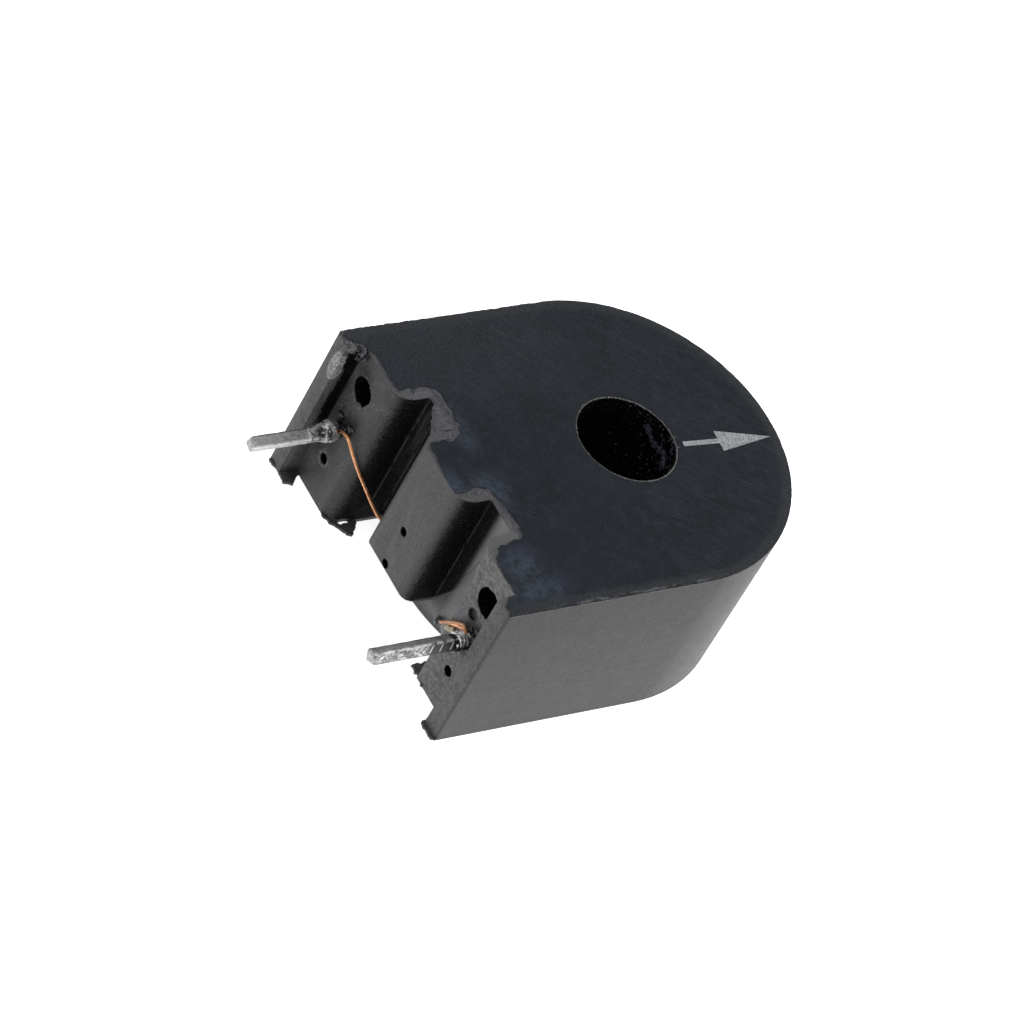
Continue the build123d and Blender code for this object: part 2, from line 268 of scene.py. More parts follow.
def case_finish():
    """Moulded plastic: even grey, finely grained, stained by the pins, with painted shade in the troughs, the
    holes and on the left foot's inner wall, painted shadows of the pins and painted highlights on some edges.
    """
    f = Finish("moulded_case")
    grain = f.noise(9, 4, 0.7)
    fine = f.noise(15, 3, 0.7)
    clouds = f.noise(0.7, 4, 0.6)
    streaks = f.noise(1, 4, 0.6, place=f.stretch((6, 6, 0.5)))
    f.base(f.mix(f.fade(grain, 0.3, 0.72), 0.044, 0.07))
    f.coat(0.066, f.fade(clouds, 0.4, 0.7), 0.5)
    f.coat(0.1, f.fade(streaks, 0.5, 0.75), 0.2)
    # The outer sides are a little darker. The terminal side is mottled, and dirtier on the left
    depth = f.minus(f.y, floor_y)
    off_middle = f.math("ABSOLUTE", f.x)
    off_sides = f.fade(off_middle, half_width - 0.02, half_width - 0.1)
    near_board = f.fade(f.y, -5.5, -6.5)
    f.coat(0.81, f.fade(off_sides, 1.0, 0.0), blend="MULTIPLY")
    terminal_side = f.both(f.fade(f.y, trough_floor + 0.6, trough_floor), off_sides)
    f.coat(0.105, terminal_side, f.fade(fine, 0.42, 0.6), 0.55)
    f.coat(0.025, terminal_side, f.fade(fine, 0.45, 0.3), 0.7)
    f.coat(0.035, terminal_side, f.fade(grain, 0.45, 0.35), 0.5)
    off_block = f.fade(off_middle, block_half - 0.3, block_half)
    on_floor = f.both(terminal_side, f.fade(f.y, seat + 0.2, seat + 0.6))
    right_floor = f.both(on_floor, f.fade(f.x, 3.2, 4.4))
    f.coat(0.03, on_floor, f.fade(off_middle, block_half, block_half - 0.3), 0.3)
    f.coat(0.11, right_floor, 0.3)
    f.coat(0.02, on_floor, f.fade(f.x, -3.8, -4.6), f.fade(clouds, 0.2, 0.45), 0.7)
    blotches = f.noise(3.2, 5, 0.8)
    f.coat(0.16, right_floor, f.fade(blotches, 0.48, 0.6), 0.6)
    f.coat(0.024, terminal_side, off_block, f.fade(blotches, 0.5, 0.38), 0.65)
    f.coat(0.12, terminal_side, off_block, f.fade(f.noise(7, 5, 0.75), 0.56, 0.68), 0.5)
    # The printed face's bare rim
    bare = f.mix(f.fade(grain, 0.35, 0.65), (0.045, 0.045, 0.0477), (0.08, 0.08, 0.0864))
    bare_right = f.mix(f.fade(fine, 0.4, 0.62), (0.068, 0.06664, 0.06664), 0.12)
    rim_top = f.fade(f.z, case_top - 0.05, case_top - 0.02)
    f.coat(f.mix(f.fade(f.x, 3.1, 3.6), bare, bare_right), rim_top)
    # Painted shade in the troughs, nearly black. In the right one it ends on the web, on a slanting line
    from_middle = f.math("ABSOLUTE", f.minus(off_middle, trough_middle))
    below_face = f.fade(f.z, case_top - 0.02, case_top - 0.1)
    slant = f.minus(f.z, f.times(f.x, 1.8))
    sunk = f.plus(depth, f.times(f.fade(f.z, 1.8, 0.4), 0.5))
    in_left = f.both(f.fade(from_middle, 1.9, 1.0), f.fade(sunk, -0.05, 1.3), f.fade(f.x, 0.5, 0.0))
    in_right = f.both(f.fade(from_middle, 1.95, 1.1), f.fade(depth, -0.3, 0.9), f.fade(f.x, 3.35, 2.6),
                      f.fade(slant, -2.05, -1.6))
    trough_shade = f.both(f.either(in_left, in_right), below_face, f.fade(f.z, 0.12, 0.3), near_board)
    trough_shade = f.times(f.fade(f.waver(trough_shade, fine, 1.9), 0.1, 0.8), f.fade(trough_shade, 0.0, 0.25))
    drawn = f.noise(1, 4, 0.7, place=f.stretch((9, 9, 0.35)))
    on_wall = f.both(f.fade(f.x, 0.5, 0.0), f.fade(f.y, trough_floor - 0.25, trough_floor - 0.05))
    drawn_lines = f.both(on_wall, f.fade(drawn, 0.42, 0.62), f.fade(f.z, 3.0, 8.0))
    trough_shade_tone = f.mix(f.fade(grain, 0.48, 0.75), 0.003, 0.02)
    f.coat(f.mix(drawn_lines, trough_shade_tone, 0.03), trough_shade, 0.96)
    # Painted light: beyond the painted shade the right trough's floor is lit up as pale as the pocket
    pale = f.both(f.fade(f.x, 2.7, 3.5), f.fade(f.x, 4.3, 4.0), f.fade(depth, 0.4, 0.9), below_face,
                  near_board)
    f.coat(f.mix(f.fade(fine, 0.35, 0.65), 0.13, 0.2), pale, 0.9)
    # Pale lines in the troughs; the two at the corners, x -4.0 and 2.12, are painted highlights along the
    # edges
    for line_x in (-4.0, 2.12, -3.2):
        line = f.band(f.x, line_x - 0.02, line_x + 0.02, 0.03)
        f.coat(0.12, line, trough_shade, f.fade(f.noise(1.2), 0.35, 0.5), 0.35)
    # Dirt and stains round the pins' feet and along the left foot's inner wall, then painted shadows of the
    # pins on the pockets' floors
    stains = f.either(
        f.floor_spots(
            0.3, (-6.3, 4.9, 1.0, 0.9, 1.2), (-7.0, 4.6, 1.0, 0.9, 2.4), (-7.0, 2.9, 0.9, 0.8, 1.3),
            (6.4, 5.3, 0.9, 0.8, 1.0), (7.0, 4.2, 0.7, 0.8, 0.9), (7.2, 5.0, 0.7, 0.8, 0.8),
            (7.3, 8.0, 0.5, 0.6, 0.8)),
        f.floor_spots(
            0.2, (-6.6, 7.9, 0.9, 0.6, 0.9), (-7.2, 6.2, 0.6, 0.6, 1.3), (-6.6, 3.3, 1.1, 0.6, 1.0),
            (-5.9, 5.2, 0.8, 0.6, 1.0)),
        f.floor_spots(0.7, (6.9, 3.95, 0.7, 0.6, 0.55)),
        f.floor_spots(0.5, (6.75, 5.35, 0.7, 0.6, 0.8)))
    f.coat(0.004, stains, f.fade(f.noise(3.2, 5, 0.75), 0.38, 0.52))
    # Painted shadows of the pins on the pockets' floors
    shaded = f.floor_spots(
        0.3, (6.6, 4.1, 0.6, 0.6, 0.42), (6.5, 5.5, 0.3, 0.6, 0.3), (6.95, 4.9, 0.5, 0.8, 0.7),
        (-6.6, 4.0, 0.7, 0.6, 0.45))
    f.coat(0.012, shaded, f.fade(fine, 0.25, 0.45), 0.85)
    # A slate smear, and a dirty dimple, beside the right pin
    f.coat((0.09, 0.1, 0.14), f.floor_spots(0.3, (5.2, 4.95, 0.5, 0.5, 0.4)),
           f.fade(f.noise(4, 4, 0.7), 0.35, 0.5), 0.7)
    dimple = f.tunnel(pin_x - 0.42, pin_levels["right"] + 1.24, 0.36)
    f.coat(0.003, near_board, dimple, f.fade(f.noise(8, 4, 0.7), 0.68, 0.6))
    # Painted shadow: the left foot's inner wall is black where shade falls, with torn edges
    torn = f.waver(f.y, f.noise(3.5, 4, 0.75), 0.9)
    torn = f.plus(torn, f.times(f.fade(f.z, 6.8, 8.2), 0.25))
    lower_end = f.waver(f.z, f.noise(1.5), 3.0)
    on_inner_wall = f.fade(f.math("ABSOLUTE", f.minus(f.x, inner_wall_x)), 0.16, 0.08)
    inner_wall_shadow = f.both(near_board, on_inner_wall, f.fade(torn, seat + 0.5, seat + 0.58),
                    f.fade(lower_end, 3.2, 3.8), f.fade(f.z, 8.85, 8.7))
    f.coat(0.003, inner_wall_shadow, 0.97)
    # Pale scuffs on the left foot, and a painted highlight along its outer edge
    scuffs = f.both(f.spots(0.8, ((-7.66, seat + 0.1, 7.5), (0.42, 0.5, 1.0))),
                    f.fade(f.noise(6, 5, 0.85), 0.36, 0.52), f.fade(inner_wall_shadow, 0.5, 0.0))
    f.coat(f.mix(f.fade(f.noise(9, 4, 0.8), 0.4, 0.6), 0.13, 0.36), scuffs, 0.9)
    # Painted highlight along the left foot's outer edge
    f.coat(0.22, f.fade(f.x, 0.11 - half_width, 0.03 - half_width), f.fade(f.y, seat + 0.12, seat + 0.02),
           f.fade(f.z, 2.0, 5.0), 0.55)
    # Halos round the small holes
    for x in (-pin_x, pin_x):
        halo = f.floor_spots(0.7, (x, small_hole_z, 0.52, 0.2, 0.52))
        f.coat(0.14, halo, f.fade(f.noise(5, 4), 0.35, 0.6), 0.5)
    # Painted shade: deep in the round holes and in the bore everything is black
    holes = [f.tunnel(*hole) for hole in (
        (-pin_x, 7.13, 0.86), (pin_x, 7.13, 0.9), (-pin_x, small_hole_z, 0.31), (pin_x, small_hole_z, 0.31),
        (0, small_hole_z, 0.27), (0, 4.5, 0.27))]
    holes = f.both(f.either(*holes), f.fade(depth, 0.01, 0.06), near_board)
    holes = f.either(holes, f.fade(f.reach(f.x, f.y), bore_radius + 0.04, bore_radius + 0.01))
    f.coat(f.mix(f.fade(fine, 0.5, 0.75), 0.001, (0.012, 0.012, 0.018)), holes)
    # A dark line along the edge between the right foot's end and its side
    by_side = f.fade(f.x, half_width - 0.13, half_width - 0.08)
    f.coat(0.02, by_side, f.fade(f.y, seat + 0.14, seat + 0.06), 0.75)
    # Specks of brighter plastic all over
    f.coat(0.16, f.fade(fine, 0.6, 0.72), 0.3)
    f.roughness(f.noise(2.5, 4, 0.6), 0.42, 0.62)
    # Less specular where shade is painted: troughs, holes and the left foot's inner wall
    shine = f.minus(0.3, f.times(f.either(trough_shade, holes, inner_wall_shadow), 0.29))
    f.link(shine, f.shader.inputs["Specular IOR Level"])
    f.bump((clouds, 0.03), (grain, 0.02), (fine, 0.01))
    return f.material


def film_finish():
    """Lapped compound: blue-black, scratched one way, paler in patches and brown at the rim."""
    f = Finish("lapped_compound", specular=0.12)
    grain = f.noise(8, 5, 0.8)
    clouds = f.noise(0.35, 5, 0.65)
    mottle = f.noise(1.6, 6, 0.8, 0.4)
    lapping = f.noise(1, 5, 0.7, place=f.stretch((0.4, 3.2, 1), 45))
    fine_lapping = f.noise(1, 4, 0.7, place=f.stretch((0.8, 11, 1), 47))
    cross = f.noise(1, 4, 0.65, place=f.stretch((0.6, 10, 1), 62))
    scratched = f.either(f.fade(f.y, -1.0, 4.5), f.fade(f.noise(0.3), 0.5, 0.62))
    f.base(f.mix(f.fade(clouds, 0.35, 0.65), (0.0055, 0.008, 0.0115), (0.0095, 0.0125, 0.017)))
    f.coat((0.019, 0.024, 0.0295), f.fade(mottle, 0.46, 0.66), 0.75)
    f.coat((0.0105, 0.0115, 0.0235), f.fade(f.noise(0.45, 4, 0.7, 1.0), 0.52, 0.64), 0.6)
    f.coat((0.021, 0.026, 0.031), f.fade(lapping, 0.45, 0.68), scratched, 0.7)
    f.coat((0.05, 0.055, 0.06), f.fade(fine_lapping, 0.56, 0.7), scratched, 0.8)
    f.coat((0.04, 0.045, 0.049), f.fade(cross, 0.6, 0.74), f.fade(f.noise(0.25), 0.45, 0.6), 0.6)
    f.coat((0.04, 0.044, 0.048), f.fade(grain, 0.53, 0.68), 0.55)
    f.coat((0.002, 0.003, 0.004), f.fade(grain, 0.46, 0.34), 0.8)
    # Painted light: paler in grainy specks towards the left foot and the far side
    far_side_light = f.both(f.fade(f.x, 0.0, -8.5), f.fade(f.y, 8.0, -8.0))
    f.coat((0.05, 0.051, 0.051), far_side_light, f.fade(grain, 0.35, 0.6), 0.5)
    # Blue-grey bloom round the right trough
    bloom = f.spots(0.1, *(((x, y, top), (width, length, 1)) for x, y, width, length in (
        (5.8, -9.4, 1.6, 1.9), (1.6, -8.7, 1.6, 1.6), (7.3, -9.4, 1.4, 2.8), (-2.0, -8.4, 2.2, 0.9),
        (1.0, -10.3, 1.6, 0.8))))
    f.coat((0.062, 0.073, 0.096), bloom, f.fade(f.noise(2.2, 6, 0.85), 0.32, 0.7), 0.85)
    # The rim of the case shows through along the round and down both sides
    off_axis = f.reach(f.x, f.math("MAXIMUM", f.minus(f.y, arch_centre_y), 0.0))
    to_rim = f.waver(off_axis, f.noise(1.2, 3), 0.3)
    rim = f.fade(to_rim, half_width - 0.7, half_width - 0.3)
    f.coat((0.042, 0.041, 0.04), rim, f.fade(grain, 0.3, 0.6), 0.8)
    very_edge = f.both(f.fade(to_rim, half_width - 0.16, half_width - 0.04), f.fade(f.x, 5.0, -4.0))
    f.coat((0.085, 0.083, 0.078), very_edge, f.fade(f.noise(5, 4), 0.4, 0.6), 0.5)
    # The near edge is chipped down to pale plastic in places
    chips = f.both(f.fade(to_rim, half_width - 0.26, half_width - 0.1), f.fade(f.x, 6.0, 7.5),
                   f.band(f.y, -8.5, 0.0, 1.5))
    chip_noise = f.noise(1, 4, 0.75, place=f.stretch((4, 1.3, 4)))
    f.coat(0.11, chips, f.fade(chip_noise, 0.5, 0.56))
    f.coat(0.002, chips, f.fade(chip_noise, 0.44, 0.38))
    f.coat((0.74, 0.81, 0.9), 1.0, blend="MULTIPLY")
    # Its thickness is painted light slate round the troughs, lifting the shade on that thin side, and a dark
    # brown line along the outer sides
    outer = f.fade(off_axis, half_width - 0.2, half_width - 0.1)
    flank = f.fade(f.z, top - 0.002, top - 0.015)
    f.coat(f.mix(outer, (0.05, 0.05, 0.06), (0.008, 0.006, 0.005)), flank)
    f.roughness(lapping, 0.42, 0.6)
    f.bump((clouds, 0.01), (fine_lapping, 0.004), (mottle, 0.006), (grain, 0.012))
    return f.material


def spotted_finish(name, scale, low, high, depth, limits=(0.35, 0.65), **shading):
    """A finish of one mottle: two colours and a bump of the same noise."""
    f = Finish(name, **shading)
    spots = f.noise(scale, 4, 0.7)
    f.base(f.mix(f.fade(spots, *limits), low, high))
    f.bump((spots, depth))
    return f, spots


def residue_finish():
    """Dark glossy compound in the bore, with glints."""
    f, spots = spotted_finish("bore_residue", 9, (0.006, 0.006, 0.009), (0.06, 0.052, 0.09), 0.04,
                              (0.42, 0.66), specular=0.25)
    f.roughness(spots, 0.25, 0.5)
    return f.material


def torn_finish():
    """Torn grey plastic on rims and burrs."""
    return spotted_finish("torn_plastic", 8, 0.035, 0.14, 0.02, roughness=0.6, specular=0.3)[0].material


def smear_finish():
    """Thin dried compound: slate grey, whitish where it breaks up."""
    f = Finish("dried_compound", roughness=0.5, specular=0.3)
    spots = f.noise(7, 5, 0.75)
    clouds = f.noise(2.2, 4, 0.6)
    f.base(f.mix(f.fade(clouds, 0.35, 0.65), (0.03, 0.032, 0.038), (0.062, 0.062, 0.078)))
    f.coat((0.15, 0.145, 0.165), f.fade(spots, 0.52, 0.68), 0.7)
    f.roughness(spots, 0.35, 0.6)
    f.bump((spots, 0.03), (clouds, 0.03))
    return f.material


def flux_finish():
    """Nearly black flux with a few glints."""
    return spotted_finish("flux", 6, 0.008, 0.06, 0.03, (0.5, 0.7), roughness=0.35)[0].material


def ink_finish():
    """Worn pale ink, with specks of the dark face showing."""
    f = Finish("pale_ink", roughness=0.6, specular=0.2)
    specks = f.fade(f.noise(16, 4, 0.75), 0.38, 0.52)
    wear = f.fade(f.noise(5, 3, 0.6), 0.3, 0.6)
    f.base(f.mix(specks, (0.09, 0.1, 0.11), f.mix(wear, (0.25, 0.26, 0.28), (0.36, 0.37, 0.39))))
    f.bump((specks, 0.004))
    return f.material


def pin_finish(side):
    """Tinned square wire: mottled silver-grey with draw lines and dark specks, a painted highlight on the
    ridge and painted light on the lower face.
    """
    f = Finish(f"tinned_pin_{side}", metallic=0.7)
    mottle = f.noise(5, 5, 0.7)
    lines = f.noise(1, 4, 0.7, place=f.stretch((16, 1.0, 16)))
    f.base(f.mix(f.fade(mottle, 0.35, 0.65), 0.26, 0.44))
    f.coat(0.75, f.fade(lines, 0.5, 0.66), 0.6)
    f.coat(0.06, f.fade(f.noise(9, 5, 0.75), 0.56, 0.66), 0.6)
    # Distances from the pin's axis towards its lower and its upper visible face
    cosine, sine = math.cos(math.radians(pin_twists[side])), math.sin(math.radians(pin_twists[side]))
    across, along = f.minus(f.x, sides[side] * pin_x), f.minus(f.z, pin_levels[side])
    to_lower = f.plus(f.times(across, cosine), f.times(along, sine))
    to_upper = f.minus(f.times(along, cosine), f.times(across, sine))
    half = pin_width / 2
    lower_face = f.fade(to_lower, half - 0.06, half - 0.03)
    dents = f.fade(f.noise(2.4, 5, 0.8, 1.5), 0.47, 0.53)
    if side == "left":
        # Short dark notches along the lower face, blots of flux and a painted highlight where a step crosses
        # the pin below the solder
        leaning = f.minus(f.y, f.times(f.z, 0.5))
        notches = f.fade(f.math("SINE", f.times(leaning, 34)), 0.2, 0.7)
        notches = f.both(notches, f.band(to_upper, -0.1, 0.12, 0.04))
        # Painted light: the lower face is lighter, as lit from below
        f.coat(0.8, lower_face, 0.6)
        f.coat(0.1, lower_face, notches, f.fade(f.noise(2), 0.4, 0.5), 0.8)
        f.coat(0.12, lower_face, f.fade(to_upper, -0.12, -0.2), dents, 0.7)
        blots = f.spots(0.3, ((-pin_x + 0.1, seat - 0.25, 4.4), (0.6, 0.5, 0.6)))
        f.coat(0.02, blots, f.fade(f.noise(5, 4, 0.7), 0.44, 0.52))
        # Painted highlight along the step across the pin
        f.coat(0.95, f.band(f.minus(f.y, f.times(f.z, 0.3)), seat - 2.22, seat - 2.14, 0.03))
    else:
        # The lower face is darker towards the case, partly stain and partly painted shade, with three painted
        # glints on nicks, and dented farther out with painted light in bright patches
        f.coat(0.2, f.fade(f.y, seat - 1.5, seat + 0.3), 0.35)
        f.coat(0.1, lower_face, f.fade(f.y, seat - 1.6, seat - 1.1), 0.85)
        lean = 0.46
        leaning = f.minus(f.y, f.times(f.z, lean))
        middle_z = pin_levels["right"] + 0.13
        # Painted glints on three nicks
        for nick in (-1.15, -0.61, -0.03):
            at = seat + nick - lean * middle_z
            f.coat(0.95, f.band(leaning, at - 0.035, at + 0.035, 0.025),
                   f.band(f.z, middle_z - 0.17, middle_z + 0.17, 0.03), lower_face)
        outer = f.both(lower_face, f.fade(f.y, seat - 1.2, seat - 1.5))
        f.coat(0.12, outer, dents, 0.75)
        # Painted light: bright patches on the outer lower face
        f.coat(0.95, outer, f.fade(f.noise(3, 5, 0.8, 1.0), 0.52, 0.57), 0.85)
    # The ridge between the visible faces gets a painted highlight, and the upper face's far edge is dark
    ridge = f.fade(f.plus(to_lower, to_upper), 2 * half - 0.12, 2 * half - 0.06)
    f.coat(0.95, ridge, f.fade(f.noise(3), 0.35, 0.5), 0.8)
    far_edge = f.both(f.fade(to_upper, half - 0.06, half - 0.03), f.fade(to_lower, 0.09 - half, 0.04 - half))
    f.coat(0.04, far_edge, 0.85)
    f.roughness(mottle, 0.3, 0.5)
    f.bump((lines, 0.012), (mottle, 0.03))
    return f.material


def solder_finish():
    """Dull solder, bright on its ridges and black with flux between them."""
    f = Finish("solder", metallic=0.7)
    mottle = f.noise(4, 5, 0.7)
    f.base(f.mix(f.fade(mottle, 0.4, 0.6), 0.2, 0.62))
    blots = f.spots(0.6, ((-6.2, seat - 0.2, 4.45), (0.35, 0.3, 0.35)),
                    ((-6.05, seat + 0.15, 4.5), (0.3, 0.2, 0.4)))
    blots = f.both(blots, f.fade(f.noise(5, 4, 0.7), 0.36, 0.46))
    f.coat(0.01, f.either(f.fade(f.noise(3.5, 5, 0.7), 0.54, 0.6), blots), 0.95)
    f.coat(0.02, f.fade(f.y, floor_y - 0.35, floor_y - 0.1))
    f.roughness(mottle, 0.25, 0.55)
    f.bump((mottle, 0.04))
    return f.material


def turns_finish():
    """Tinned turns of wire, bright on top, and black below, partly with flux and partly with painted shade.
    """
    f, mottle = spotted_finish("tinned_turns", 6, 0.2, 0.8, 0.02, (0.4, 0.6), metallic=0.6)
    # Black below the pin's middle: flux and painted shade
    f.coat(0.006, f.fade(f.z, pin_levels["right"] + 0.2, pin_levels["right"] + 0.02))
    f.roughness(mottle, 0.25, 0.5)
    return f.material


def resin_finish():
    """Dried yellowish flux."""
    return spotted_finish("resin", 6, (0.11, 0.095, 0.05), (0.42, 0.38, 0.26), 0.03, (0.38, 0.6),
                          roughness=0.35, specular=0.4)[0].material


def copper_finish(name="copper_wire", strength=1.0):
    """Enamelled copper wire, a little darker where the enamel is thick."""
    f = Finish(name, metallic=0.6)
    shade = f.noise(3, 4, 0.6)
    tones = [tuple(strength * part for part in tone) for tone in ((0.55, 0.22, 0.09), (0.8, 0.42, 0.22))]
    f.base(f.mix(f.fade(shade, 0.35, 0.65), *tones))
    f.coat((0.1, 0.03, 0.012), f.fade(f.noise(7, 4, 0.7), 0.6, 0.7), 0.6)
    f.roughness(shade, 0.22, 0.4)
    f.bump((f.noise(14, 3), 0.006))
    return f.material


def hidden_finish(name, low, high):
    """A plain mottled finish for the coil's parts, which are sealed inside."""
    f = Finish(name, roughness=0.5)
    f.base(f.mix(f.fade(f.noise(2, 4, 0.6), 0.35, 0.65), low, high))
    f.bump((f.noise(6, 3), 0.01))
    return f.material


def floor_finish():
    """A pale, evenly lit table."""
    f = Finish("pale_floor", roughness=0.9, specular=0.0)
    f.base(f.mix(f.noise(0.05, 3), 0.86, 0.9))
    f.shader.inputs["Emission Color"].default_value = (1, 1, 1, 1)
    f.shader.inputs["Emission Strength"].default_value = 0.82
    return f.material


# Building pieces

def piece(name, mesh, finish, slot, *replaced):
    """Puts a mesh into the scene, on the one body, with its finish."""
    made = bpy.data.objects.new(name, mesh)
    bpy.context.scene.collection.objects.link(made)
    made.data.materials.clear()
    made.data.materials.append(finish)
    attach(made, "root")
    if replaced:
        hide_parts(*replaced)
    return made


def worked_mesh(work, name):
    """Ends the work on a mesh and stores it."""
    mesh = bpy.data.meshes.new(name)
    work.to_mesh(mesh)
    work.free()
    return mesh


def smooth(made, angle):
    for polygon in made.data.polygons:
        polygon.use_smooth = True
    made.data.set_sharp_from_angle(angle=math.radians(angle))


def bevelled_copy(node, name, finish, slot, cutter=None):
    """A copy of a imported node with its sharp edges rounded, cut first where a cutter is given."""
    work = bmesh.new()
    work.from_mesh(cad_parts[node].data)
    bmesh.ops.remove_doubles(work, verts=work.verts, dist=1e-7)
    bmesh.ops.dissolve_limit(work, angle_limit=math.radians(0.5), verts=work.verts, edges=work.edges)
    made = piece(name, worked_mesh(work, name), finish, slot, node)
    if cutter:
        cut = made.modifiers.new("cut", "BOOLEAN")
        cut.operation = "DIFFERENCE"
        cut.object = cutter
    bevel = made.modifiers.new("edges", "BEVEL")
    bevel.width = 0.05 * MM
    bevel.segments = 2
    bevel.limit_method = "ANGLE"
    bevel.angle_limit = math.radians(28)
    graph = bpy.context.evaluated_depsgraph_get()
    baked = bpy.data.meshes.new_from_object(made.evaluated_get(graph))
    made.modifiers.clear()
    made.data = baked
    smooth(made, 35)
    return made


def circle(radius, degrees):
    """The place at an angle on a circle round the bore's axis."""
    angle = math.radians(degrees)
    return radius * math.cos(angle), radius * math.sin(angle)


def directions(steps):
    """Cosine and sine of the angles that go round once in even steps."""
    angles = [2 * math.pi * step / steps for step in range(steps)]
    return [(math.cos(angle), math.sin(angle)) for angle in angles]


def rough(*place, roughness=0.6, lacunarity=2.1):
    """A broken noise at a place."""
    return noise.fractal(Vector(place), roughness, lacunarity, 4)


def from_seat(points):
    """The points with their second number, a height s, turned into y."""
    return [(x, s + seat, *rest) for x, s, *rest in points]


def skin(work, rings, closed=True):
    """Faces between neighbouring rings of vertices, and over both ends where closed."""
    for first, second in zip(rings, rings[1:]):
        for number in range(len(first)):
            work.faces.new((first[number - 1], first[number], second[number], second[number - 1]))
    if closed:
        work.faces.new(rings[0][::-1])
        work.faces.new(rings[-1])


def make_case(finish):
    """The moulded case, with a slit beside its left pocket and the right trough's outer corner set back."""
    work = bmesh.new()
    corner = from_seat([(5.07, 0.9), (4.0, 2.25), (3.9, 2.25), (3.9, 0.9)])
    skin(work, [[work.verts.new(Vector((x + shift, y, height)) * MM) for x, y in corner]
                for height, shift in ((-0.2, 0), (6.0, 0), (8.8, -0.45))])
    slit = [(-3.97, 1.3), (-4.13, 1.42), (-4.2, 1.7), (-4.19, 2.0), (-4.05, 2.28), (-3.98, 2.0),
            (-3.96, 1.65)]
    slab(work, [from_seat(slit)], -0.2, 0.4)
    # The pockets' upper holes are torn wider on their near sides
    for number, (x, z, reach) in enumerate(torn_holes):
        ends = []
        for s in (0.7, 2.2):
            ring = []
            for cosine, sine in directions(48):
                radius = reach + 0.09 * rough(2 * cosine, 2 * sine, number) * (1 + cosine)
                ring.append(work.verts.new(Vector((x + radius * cosine, s + seat, z + radius * sine)) * MM))
            ends.append(ring)
        skin(work, ends)
    bmesh.ops.recalc_face_normals(work, faces=work.faces)
    cutter = bpy.data.objects.new("cutter", worked_mesh(work, "cutter"))
    bpy.context.scene.collection.objects.link(cutter)
    bpy.context.view_layer.update()
    bevelled_copy("housing", "case", finish, "case", cutter)
    bpy.data.objects.remove(cutter)


def roughen(points, step, amount, seed, closed=True):
    """The line through the points, cut into short steps that wander to both sides."""
    corners = [Vector(point) for point in points]
    if closed:
        corners.append(corners[0])
    line = []
    for start, end in zip(corners, corners[1:]):
        count = max(1, round((end - start).length / step))
        across = Vector((end.y - start.y, start.x - end.x)).normalized()
        for number in range(count):
            point = start.lerp(end, number / count)
            line.append(point + across * amount * rough(3.1 * point.x, 3.1 * point.y, seed))
    if not closed:
        line.append(corners[-1])
    return line


def slab(work, outlines, low, high):
    """A closed plate between two heights. The first outline is its edge, the others are holes."""
    levels = []
    for height in (low, high):
        rings = [[work.verts.new((point[0] * MM, point[1] * MM, height * MM)) for point in outline]
                 for outline in outlines]
        edges = [work.edges.new(pair) for ring in rings for pair in zip(ring, ring[1:] + ring[:1])]
        bmesh.ops.triangle_fill(work, use_beauty=True, edges=edges)
        levels.append(rings)
    for pair in zip(*levels):
        skin(work, pair, closed=False)


def tube(work, points, radius, segments=10):
    """A round wire along the points, in millimetres, closed at both ends."""
    points = [Vector(point) for point in points]
    side = Vector((0.3, 0.2, 1))
    rings = []
    for index, point in enumerate(points):
        ahead = (points[min(index + 1, len(points) - 1)] - points[max(index - 1, 0)]).normalized()
        side = (side - ahead * side.dot(ahead)).normalized()
        across = ahead.cross(side)
        width = radius[index] if isinstance(radius, list) else radius
        rings.append([work.verts.new((point + width * (side * cosine + across * sine)) * MM)
                      for cosine, sine in directions(segments)])
    skin(work, rings)


def crumb(work, centre, size, seed):
    """A small lump with an uneven surface."""
    made = bmesh.ops.create_icosphere(work, subdivisions=2, radius=1)["verts"]
    for vertex in made:
        push = 1 + 0.55 * noise.noise(vertex.co * 1.6 + Vector((seed, 0, 0)))
        scaled = Vector(part * factor for part, factor in zip(vertex.co, size))
        vertex.co = (Vector(centre) + scaled * push) * MM


def finish_piece(work, name, finish, slot, *replaced, angle=60):
    """Turns worked geometry into a piece of the scene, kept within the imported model's box."""
    bmesh.ops.recalc_face_normals(work, faces=work.faces)
    for vertex in work.verts:
        vertex.co = [min(max(part, low), high) for part, low, high in zip(vertex.co, *cad_box)]
    made = piece(name, worked_mesh(work, name), finish, slot, *replaced)
    smooth(made, angle)


def smooth_copy(node, name, finish, slot):
    """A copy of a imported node, shaded smooth."""
    made = piece(name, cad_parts[node].data.copy(), finish, slot, node)
    smooth(made, 50)


